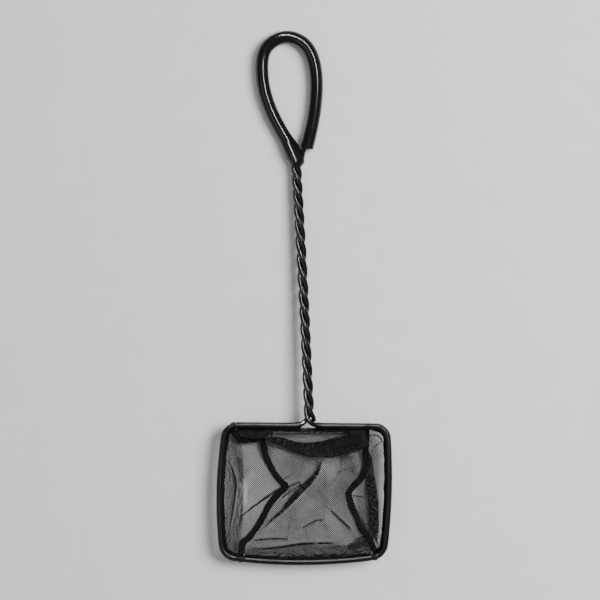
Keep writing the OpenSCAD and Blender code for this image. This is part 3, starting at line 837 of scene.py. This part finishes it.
def pleated(grid, flat, line, widths, layer, reach):
    """A lying pleat: the cloth runs over the line, doubles back under itself, and goes on.

    line lists its middle in the photograph's pixels, and the top layer laps to the left
    of it. widths are the pleat's widths along the line, in pixels, layer is the height of
    one layer over the next, and reach how far the cloth on each side is drawn in.
    """
    s, share, left = beside(grid, line_of(line))
    w = np.interp(share, np.linspace(0, 1, len(widths)), widths) * PX
    edge = smooth(np.minimum(share, 1 - share) / 0.12)
    w = w * edge
    q = s / reach
    live = np.clip(w / 0.5, 0, 1)
    a = (w + reach * live) / 2
    inside = np.abs(q) < 1
    shift = np.where(inside, -a * np.sin(np.pi * q), 0)
    out = grid.copy()
    out[..., :2] += shift[..., None] * left
    behind = np.maximum(w / 2, reach)
    climb = smooth((s + behind + 1.2) / 1.2)
    fall = 1 - smooth((q + 0.55) / 1.1)
    out[..., 2] += 2 * layer * live * climb * fall
    # cloth taken up by the pleat, from a table over its width and over places across it
    rows, columns = 29, 240
    sizes = np.linspace(0, max(a.max(), 0.1), rows + 1)
    places = np.linspace(-1, 1, columns + 1)
    mid = (places[1:] + places[:-1]) / 2
    speed = np.abs(reach - sizes[:, None] * np.pi * np.cos(np.pi * mid[None])) - reach
    taken = np.concatenate([np.zeros((len(sizes), 1)), np.cumsum(speed, 1) * (places[1] - places[0])], 1)
    ia = np.clip(a / sizes[-1] * rows, 0, rows - 0.001)
    iq = np.clip((np.clip(q, -1, 1) + 1) / 2 * columns, 0, columns - 0.001)
    i0, j0 = ia.astype(int), iq.astype(int)
    fa, fq = ia - i0, iq - j0
    e = ((1 - fa) * ((1 - fq) * taken[i0, j0] + fq * taken[i0, j0 + 1])
         + fa * ((1 - fq) * taken[i0 + 1, j0] + fq * taken[i0 + 1, j0 + 1]))
    whole = (1 - fa) * taken[i0, -1] + fa * taken[i0 + 1, -1]
    away = np.exp(-np.maximum(np.abs(s) - reach, 0) / (20 + 10 * a.max()))
    e = (e - whole / 2) * away
    flat = flat + e[..., None] * left
    return out, flat


def gathered(grid, line, widths, height, wave, seed):
    """Cloth bunched in soft uneven waves that run beside a line, over a band of these widths.

    Also returned are each point's place across the band and the band's left, for the cloth
    that is taken up by gathers too fine to be shaped.
    """
    s, share, left = beside(grid, line_of(line))
    r = np.random.default_rng(seed)
    half = np.interp(share, np.linspace(0, 1, len(widths)), widths) * PX / 2
    held = smooth((half - np.abs(s)) / 1.2)
    drift = sum(a * np.sin(2 * np.pi * (share * f + r.random())) for a, f in ((0.5, 2), (0.3, 5), (0.2, 11)))
    swell = 1 + 0.35 * np.sin(2 * np.pi * (share * 7 + s / wave / 3 + r.random()))
    out = grid.copy()
    out[..., 2] += height * held * swell * (1 + np.sin(2 * np.pi * (s / wave + drift))) / 2
    return out, np.clip(s, -half, half)[..., None] * left


def rumpled(grid, seed, size, wave):
    """Gentle uneven waves in height, none at the sheet's edges or below its own level."""
    r = np.random.default_rng(seed)
    n, m = grid.shape[:2]
    z = np.zeros((n, m))
    for _ in range(14):
        k = r.normal(0, 1, 2) * 2 * np.pi / wave
        z += np.cos(grid[..., 0] * k[0] + grid[..., 1] * k[1] + r.random() * 6.3)
    rim = smooth(from_ends(n)[:, None] / n / 0.06), smooth(from_ends(m)[None, :] / m / 0.06)
    out = grid.copy()
    out[..., 2] += size * np.maximum(z + 1.5, 0) / 3 * rim[0] * rim[1]
    return out


MESH_PITCH = 1.12  # a diamond's diagonal
CELL = 0.28  # the cloth's cells, from which the threads are traced
CROSS_GAP = 0.045  # how far each family of threads lies off the cloth's middle


def traced(field, grid, normals):
    """Lines on the sheet where the field is a whole number, as points and normals."""
    n, m = field.shape
    # the small shift keeps whole numbers off the sheet's own points
    f = (field + 0.0137).ravel()
    ids = np.arange(n * m).reshape(n, m)
    a, b, c, d = ids[:-1, :-1].ravel(), ids[:-1, 1:].ravel(), ids[1:, 1:].ravel(), ids[1:, :-1].ravel()
    tris = np.concatenate([np.stack([a, b, c], 1), np.stack([a, c, d], 1)])
    ft = f[tris]
    order = np.argsort(ft, 1)
    tris = np.take_along_axis(tris, order, 1)
    ft = np.take_along_axis(ft, order, 1)
    low = np.ceil(ft[:, 0]).astype(int)
    count = np.floor(ft[:, 2]).astype(int) - low + 1
    sizes, ends = [], []
    for extra in range(max(0, count.max())):
        on = count > extra
        t, g, k = tris[on], ft[on], low[on] + extra
        upper = k < g[:, 1]
        p0, p1 = t[:, 0], t[:, 2]
        q0 = np.where(upper, t[:, 0], t[:, 1])
        q1 = np.where(upper, t[:, 1], t[:, 2])
        ends.append(np.concatenate([np.stack([p0, p1, k], 1), np.stack([q0, q1, k], 1)]))
        sizes.append(len(p0))
    rows = np.concatenate(ends)
    lo, hi = np.minimum(rows[:, 0], rows[:, 1]), np.maximum(rows[:, 0], rows[:, 1])
    base = rows[:, 2].min()
    span = rows[:, 2].max() - base + 1
    code = (lo.astype(np.int64) * (n * m) + hi) * span + rows[:, 2] - base
    unique, first, back = np.unique(code, return_index=True, return_inverse=True)
    x, y, k = rows[first, 0], rows[first, 1], rows[first, 2]
    w = ((k - f[x]) / (f[y] - f[x]))[:, None]
    flat_grid, flat_normals = grid.reshape(-1, 3), normals.reshape(-1, 3)
    points = flat_grid[x] * (1 - w) + flat_grid[y] * w
    around = unit(flat_normals[x] * (1 - w) + flat_normals[y] * w)
    parts = np.split(back.reshape(-1), 2 * np.cumsum(sizes[:-1]))
    links = np.concatenate([part.reshape(2, -1).T for part in parts])
    links = links[links[:, 0] != links[:, 1]]
    near = [[] for _ in unique]
    for i, j in links.tolist():
        if len(near[i]) < 2 and len(near[j]) < 2:
            near[i].append(j)
            near[j].append(i)
    used = [False] * len(near)
    lines = []
    # open lines start at an end, closed ones anywhere
    starts = [i for ends in (1, 2) for i, found in enumerate(near) if len(found) == ends]
    for s in starts:
        if used[s]:
            continue
        run, ahead = [], [s]
        while ahead:
            run.append(ahead[0])
            used[ahead[0]] = True
            ahead = [j for j in near[ahead[0]] if not used[j]]
        if len(run) > 3:
            lines.append(np.array(run))
    return [(points[i], around[i]) for i in lines]


def thinned(points, around, step=1.4, turn=1.0):
    """Smoothed, with fewer points: one every step, and more where the line or the cloth turns."""
    run = lengths(points)
    if len(points) < 3 or run[-1] < 0.5:
        return None
    places = np.linspace(0, run[-1], max(4, int(run[-1] / 0.3)))
    p = sampled(points, run, places)
    p[1:-1] = (p[:-2] + 2 * p[1:-1] + p[2:]) / 4
    d = np.diff(p, axis=0)
    length = np.maximum(np.linalg.norm(d, axis=1), 1e-6)
    t = d / length[:, None]
    angle = np.concatenate([[0], np.arccos(np.clip((t[1:] * t[:-1]).sum(1), -1, 1))])
    cost = np.concatenate([[0], np.cumsum(length / step + angle / turn)])
    kept = np.linspace(0, cost[-1], max(3, int(round(cost[-1])) + 1))
    share = np.interp(kept, cost, places)
    return sampled(p, places, share), unit(sampled(around, run, share))


def netting(name, grid, flat, node, thread):
    """The panel's threads, two families that cross and make diamonds; and the cloth's flat area."""
    normals = unit(np.cross(np.gradient(grid, axis=0), np.gradient(grid, axis=1)))
    points, faces, base, sides = [], [], 0, 4
    out = spokes(sides)[1]
    for sign in (1, -1):
        field = (flat[..., 0] + sign * flat[..., 1]) / MESH_PITCH
        for line, around in traced(field, grid, normals):
            kept = thinned(line, around)
            if kept is None:
                continue
            p, a = kept
            p = p + sign * CROSS_GAP * a
            t = path_dirs(p)
            b = unit(np.cross(t, a))
            a = np.cross(b, t)
            ring = p[:, None] + thread * (out[:, :1] * a[:, None] + out[:, 1:] * b[:, None])
            n = len(p)
            points.append(ring.reshape(-1, 3))
            faces.append(ring_faces(n, sides) + base)
            faces.append(np.array([[3, 2, 1, 0], [0, 1, 2, 3]]) + [[base], [base + (n - 1) * sides]])
            base += n * sides
    points = np.concatenate(points)
    points[:, 2] = np.maximum(points[:, 2], FLOOR_GAP)
    obj = piece(name, points, np.concatenate(faces), MESH, [node], "mesh")
    one, two = flat[1:, 1:] - flat[:-1, :-1], flat[1:, :-1] - flat[:-1, 1:]
    area = np.abs(one[..., 0] * two[..., 1] - one[..., 1] * two[..., 0]).sum() / 2
    return obj, area


def seam_share(line, place):
    """The point of a seam nearest to a place in the photograph."""
    return line[np.linalg.norm(line[:, :2] - at(*place)[:2], axis=1).argmin()]


def hem_row(a, b, reach, count, dip=0.0):
    """Points of the main panel's edge in a hem, which sags by dip where the strands part."""
    fork = (BAR_LEFT + 4 + BAR_RIGHT) / 2
    return [mouth_at(q, reach + dip * math.exp(-(((q - fork) / 0.14) ** 2)))
            for q in np.linspace(a, b, count)]


GAP = 0.02  # from a tack to the cloth's corner, in shares of a side
NEAR, FAR = HEM_IN + HEM_SLIP + CLOTH_T, HEM_REACH + CLOTH_T  # the cloth's edge, and the tails' end


def main_row(left, right, *places):
    """Points across the main panel, from seam to seam."""
    return [seam_share(left_line, left), *[at(*p) for p in places], seam_share(right_line, right)]


main_rows = [
    hem_row(TACKS[0] + 4 - GAP, TACKS[3] + GAP, NEAR, 9, 0.6),
    hem_row(TACKS[0] + 4 - GAP, TACKS[3] + GAP, FAR, 9, 2.2),
    main_row((237, 436), (366.4, 437), (262, 434.5, 6.2), (297, 437, 5.6), (330, 437, 5.4), (350, 436, 5.8)),
    main_row((250, 440), (366.2, 442), (275, 441, 3.6), (300, 443, 2.6), (330, 443, 2.4), (350, 442, 3.4)),
    main_row((262.5, 443), (366, 447), (280, 447.5, 1.6), (300, 450, 0.9), (330, 450, 0.8), (350, 448, 1.8)),
    main_row((264.5, 452), (365.7, 453), (300, 457, 0.4), (330, 459, 0.4), (352, 456, 0.8)),
    main_row((268, 462), (366, 463), (300, 465, 0.3), (330, 467, 0.3), (352, 465, 0.4)),
    main_row((276, 476.5), (362.5, 476.5), (300, 478, 0.3), (330, 479, 0.3)),
    main_row((284.5, 485.5), (351.5, 489.5), (320, 489, 0.3)),
    main_row((281, 492), (348.9, 495), (320, 497, 0.3)),
    main_row((269, 505), (352.5, 508.6), (300, 510, 0.3), (330, 511, 0.3)),
    main_row((260, 523), (360, 526), (300, 527, 0.3), (330, 528, 0.3)),
    main_row((250, 537.2), (368.5, 538), (280, 541, 0.4), (310, 543, 0.4), (345, 542, 0.4)),
    main_row((243.5, 543), (371.5, 544), (270, 548, 1.2), (310, 550, 0.8), (350, 549, 1.2)),
    main_row((241.8, 549), (374.5, 550), (270, 552.5, 3.4), (310, 554.5, 3), (350, 553, 3.4)),
    hem_row(TACKS[1] + GAP, TACKS[2] - GAP, FAR, 9),
    hem_row(TACKS[1] + GAP, TACKS[2] - GAP, NEAR, 9)]


def gusset_row(seam, place, q, hold, lying=0.8):
    """Points from a seam to the hem: the cloth lies over a share of the way, and then climbs.

    hold is how far it stays at the level of its edges instead of lying on the surface.
    """
    s = seam_share(seam, place)
    rim = mouth_at(q, FAR)
    row = [s]
    for c in (0.25, 0.5, lying):
        p = mix(s, rim, c)
        p[2] = mix(0.35, p[2], hold)
        row.append(p)
    return row + [rim, mouth_at(q, NEAR)]


left_rows = [gusset_row(left_line, *r) for r in [
    ((229.5, 427), 0.02, 1.0), ((234, 432), 0.08, 0.9), ((240, 439.5), 0.15, 0.75),
    ((250, 440), 0.2, 0.5), ((261, 440), 0.255, 0.25), ((264, 448), 0.315, 0.05),
    ((266.5, 458), 0.385, 0), ((272.5, 470.5), 0.47, 0), ((283.5, 486), 0.56, 0),
    ((276, 496.5), 0.64, 0), ((266, 511), 0.74, 0), ((257.5, 527.5), 0.83, 0.03),
    ((249, 538), 0.91, 0.25), ((242.5, 545), 0.975, 0.6), ((240.5, 556), 1.05, 1.0)]]
right_rows = [gusset_row(right_line, *r, 0.66) for r in [
    ((367, 428), 3.03, 1.0), ((366.6, 433), 2.965, 0.9), ((366.3, 440), 2.9, 0.75),
    ((366, 448), 2.83, 0.5), ((365.7, 456), 2.76, 0.25), ((365.8, 465), 2.69, 0.08),
    ((363.5, 474), 2.62, 0), ((356, 484), 2.55, 0), ((349.3, 493), 2.48, 0),
    ((350.5, 503), 2.4, 0), ((354, 512), 2.33, 0), ((358.5, 521), 2.26, 0),
    ((363, 531), 2.19, 0.1), ((369, 539), 2.12, 0.35), ((373.5, 548), 2.06, 0.7),
    ((376.8, 554), 2.01, 1.0)]]


def panel(name, rows, node, thread, gathers, folds, seed):
    """A panel of the bag: its cloth through these rows, gathered and pleated, then threaded."""
    grid = spread(rows, 300, 300)
    tall = np.linalg.norm(np.diff(grid, axis=0), axis=2).sum(0).max()
    wide = np.linalg.norm(np.diff(grid, axis=1), axis=2).sum(1).max()
    grid = spread(rows, int(tall / CELL), int(wide / CELL))
    fine = 0
    for k, (line, widths, height, wave, packed) in enumerate(gathers):
        grid, across = gathered(grid, line, widths, height, wave, seed + k)
        fine = fine + packed * across
    flat = flat_places(grid) + fine
    grid = rumpled(grid, seed, 0.2, 30)
    for line, widths, layer, reach in folds:
        grid, flat = pleated(grid, flat, line, widths, layer, reach)
    obj, area = netting(name, grid, flat, node, thread)


# each gather: its line, its widths along it, the height and length of its waves, and the
# cloth that finer gathers take up
MAIN_GATHERS = [
    ([(250, 553), (280, 554), (310, 555), (340, 554), (366, 551)], [10, 16, 17, 17, 12], 0.8, 2.2, 0.8),
    ([(352, 548), (362, 541), (369, 540)], [8, 11, 5], 0.6, 2.2, 0.5),
    ([(236, 434), (268, 434)], [10, 10], 0.7, 2.0, 2.2)]
LEFT_GATHERS = [
    ([(233, 434), (234, 461), (234.5, 500), (233, 530), (233, 552)], [14, 19, 19, 18, 16], 0.6, 2.2, 0.95)]
RIGHT_GATHERS = [([(362, 484), (364, 500), (369, 530)], [10, 16, 8], 0.6, 2.2, 0.5)]
# each pleat: its line, its widths along it, its layer's height and its half reach of loose cloth
MAIN_FOLDS = [
    ([(384, 433), (366, 438), (352, 443.5), (341, 446.5), (328, 449), (313, 450), (297, 447.5),
      (279, 441), (262, 438)], [17, 18, 19, 18.5, 17, 13.5, 9, 8, 3], 0.75, 2.2),
    ([(366, 436), (355, 439), (345, 443), (335, 449)], [10, 12, 10, 0.3], 0.5, 2.0),
    ([(366, 432), (356, 432), (343, 431)], [6, 7, 5], 0.4, 1.6),
    ([(350, 430), (330, 430.2), (312, 429.6), (296, 430.4), (281, 430), (268, 431)],
     [2, 3, 2.4, 3.2, 2.6, 2], 0.35, 1.2),
    ([(270, 434), (254, 434.5), (238, 434)], [5, 7, 5], 0.4, 1.6),
    ([(262, 533), (269.7, 522.5), (282.8, 511), (298, 494), (308, 484), (316.5, 474), (321.5, 463),
      (323, 459)], [0.6, 1.4, 2.5, 5.5, 6.5, 6, 3.6, 2.4], 0.5, 1.4),
    ([(280, 500), (289, 493.5), (296, 488.5), (303, 483.5)], [0.6, 1.2, 1.2, 0.6], 0.4, 1.4),
    ([(302, 482.5), (295, 484.5), (287, 488)], [0.6, 1.6, 1.4], 0.4, 1.4),
    ([(339, 546), (332, 544), (317, 544), (300, 545), (280, 548), (257, 550)], [0.8, 1.6, 2.2, 2.4, 2, 1],
     0.45, 1.4),
    ([(291, 540), (280, 539.3), (265, 539.8), (251, 541.5)], [0.6, 1.2, 1.4, 0.8], 0.4, 1.4),
    ([(326, 520.3), (315, 521.8), (302, 529.3)], [0.6, 1.5, 1.2], 0.4, 1.0),
    ([(352.5, 531.5), (338.3, 517.8), (329, 509)], [1.5, 1.5, 0.6], 0.4, 1.0),
    ([(370, 549.5), (357, 552.5), (344, 555)], [0.6, 1.0, 0.5], 0.3, 1.0)]
LEFT_FOLDS = [
    ([(228.6, 532), (232.3, 511.7), (234.2, 500), (235.7, 487), (234.5, 477), (228.2, 460)],
     [0.6, 1.4, 1.6, 1.6, 1.4, 0.6], 0.45, 1.2),
    ([(281, 488), (267, 497.5), (256, 505.5), (238, 519)], [3, 2.2, 1.5, 0.8], 0.45, 1.4)]
RIGHT_FOLDS = [
    ([(377, 545), (374.5, 522), (373.5, 502), (371.5, 486), (369.5, 470), (368.5, 449)],
     [2, 9, 10, 10, 8, 5], 0.55, 1.8),
    ([(367.6, 435), (374, 434.8), (379.6, 437), (383.8, 443.5)], [1.4, 1.7, 1.5, 0.8], 0.3, 1.0),
    ([(371.5, 447), (374.5, 447), (377.5, 444.5), (383, 440.5)], [0.8, 1.3, 1.2, 0.5], 0.3, 0.8),
    ([(365.5, 498), (358, 497), (353, 495.8)], [0.6, 1.0, 0.8], 0.35, 1.0)]

# each panel: its name, cloth, node, thread's radius, gathers, folds and seed
panel("main_panel_net", main_rows, "main_panel", 0.15,
      MAIN_GATHERS, MAIN_FOLDS, 3)
panel("left_gusset_net", left_rows, "left_gusset", 0.122,
      LEFT_GATHERS, LEFT_FOLDS, 4)
panel("right_gusset_net", right_rows, "right_gusset", 0.13,
      RIGHT_GATHERS, RIGHT_FOLDS, 5)


# Floor, light and camera

def floor():
    m, nodes, links, shader = new_material("floor", 0.5, (60, 3), [(0.2, (0.78, 0.78, 0.77)),
                                                                   (0.8, (0.82, 0.82, 0.81))])
    shader.inputs["Roughness"].default_value = 0.7
    mesh = bpy.data.meshes.new("floor")
    half = 3.0  # metres
    mesh.from_pydata([(-half, -half, 0), (half, -half, 0), (half, half, 0), (-half, half, 0)], [],
                     [(0, 1, 2, 3)])
    mesh.materials.append(m)
    obj = bpy.data.objects.new("floor", mesh)
    bpy.context.scene.collection.objects.link(obj)


def lamp(name, place, size, power, strip=None):
    """A soft lamp that looks at the net: a disc, or a strip of this depth and way in plan."""
    data = bpy.data.lights.new(name, "AREA")
    data.shape, data.size, data.energy = "DISK", size, power
    z = Vector(place).normalized()
    x = Vector((1, 0, 0))
    if strip:
        data.shape, data.size_y, x = "RECTANGLE", strip[0], Vector((*strip[1], 0))
    x = (x - x.dot(z) * z).normalized()
    obj = bpy.data.objects.new(name, data)
    obj.matrix_world = Matrix((x, z.cross(x), z)).transposed().to_4x4()
    obj.location = place
    bpy.context.scene.collection.objects.link(obj)
    return obj


floor()
key = lamp("key", (0.97, 0.3, 1.2), 0.95, 40)
key.visible_glossy = False
lamp("fill", (-0.9, -0.5, 1.3), 1.4, 4)
strip = lamp("strip", (0.17, 0.8, 1.35), 1.5, 45, (0.05, (-0.35, 0.57)))
strip.visible_diffuse = False
world = bpy.data.worlds.new("studio")
world.use_nodes = True
world.node_tree.nodes["Background"].inputs["Color"].default_value = (1, 1, 1, 1)
world.node_tree.nodes["Background"].inputs["Strength"].default_value = 0.2
bpy.context.scene.world = world

LENS, SENSOR, FIELD = 150.0, 36.0, 600 * PX
camera = bpy.data.cameras.new("camera")
camera.lens, camera.sensor_width, camera.sensor_fit = LENS, SENSOR, "HORIZONTAL"
camera.clip_start, camera.clip_end = 0.05, 20
view = bpy.data.objects.new("camera", camera)
middle = at(300, 300, 6)
view.location = (middle[0] * MM, middle[1] * MM, (middle[2] + FIELD * LENS / SENSOR) * MM)
bpy.context.scene.collection.objects.link(view)
bpy.context.scene.camera = view
